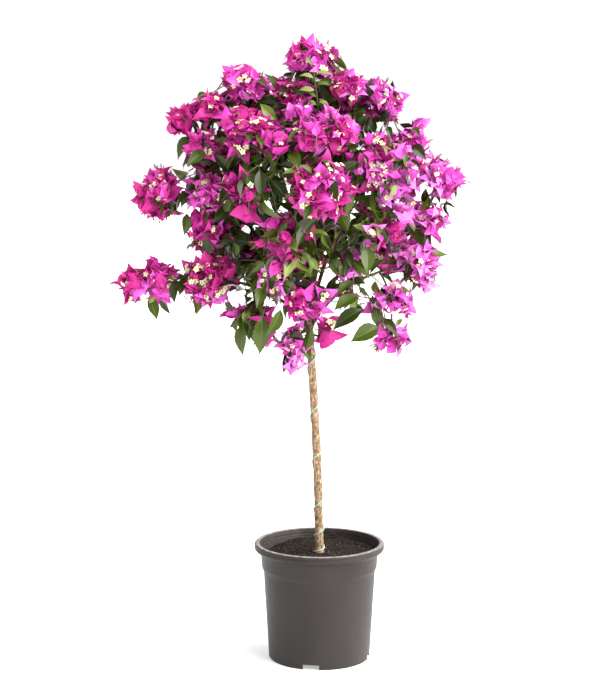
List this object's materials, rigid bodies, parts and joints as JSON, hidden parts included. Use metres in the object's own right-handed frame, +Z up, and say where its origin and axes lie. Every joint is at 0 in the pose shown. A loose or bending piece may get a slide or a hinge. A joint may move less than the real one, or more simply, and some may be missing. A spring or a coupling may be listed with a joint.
{
  "type": "potted bougainvillea standard",
  "caption": "Flowering bougainvillea standard: a round, open head of magenta bracts and green leaves on one slim clear stem, in a grey nursery pot of compost.",
  "frame": {"origin": "middle of the pot's flat underside, at floor level", "axes": "+Z up along the stem, -Y towards the front of the plant, +X to its right as seen from the front"},
  "size_m": [0.5, 0.348, 0.904],
  "materials": {
    "pot_plastic": "matte",
    "compost": "matte",
    "bark": "matte",
    "young_wood": "matte",
    "tie_wire": "satin",
    "bracts": "matte",
    "leaves": "satin"
  },
  "bodies": {
    "root": {"pot": "pot_plastic", "compost": "compost", "stem": "bark", "tie_wire": "tie_wire", "bough_top": "young_wood", "bough_upper_left": "young_wood", "bough_upper_right": "young_wood", "bough_left": "young_wood", "bough_right": "young_wood", "bough_front": "young_wood", "bough_back": "young_wood", "bough_low_left": "young_wood", "bough_low_right": "young_wood", "bough_back_left": "young_wood", "bough_back_right": "young_wood", "stalk_left": "young_wood", "stalk_low_left": "young_wood", "stalk_shoulder": "young_wood", "top_spire": "bracts", "top_left": "bracts", "top_right": "bracts", "upper_left": "bracts", "upper_left_edge": "bracts", "spray_upper_left": "bracts", "upper_right": "bracts", "shoulder_right": "bracts", "spray_right": "bracts", "right_middle": "bracts", "right_low": "bracts", "leaves_right": "leaves", "hanging_right": "bracts", "hanging_tip": "bracts", "spray_left": "bracts", "left_upper": "bracts", "left_middle": "bracts", "left_lower": "bracts", "left_low": "bracts", "spray_low_left": "bracts", "spray_low_left_tip": "bracts", "hanging_left": "leaves", "low_left": "leaves", "low_front": "bracts", "lowest": "bracts", "stem_right": "bracts", "hanging_leaves": "leaves", "front_top": "bracts", "front_upper_left": "bracts", "front_middle": "bracts", "front_left": "leaves", "front_low": "bracts", "front_right": "bracts", "front_low_right": "bracts", "back_top": "bracts", "back_upper_left": "bracts", "back_right": "bracts", "back_middle": "bracts", "back_left": "bracts", "back_low": "bracts", "back_low_left": "bracts", "back_low_right": "bracts"}
  },
  "joints": []
}
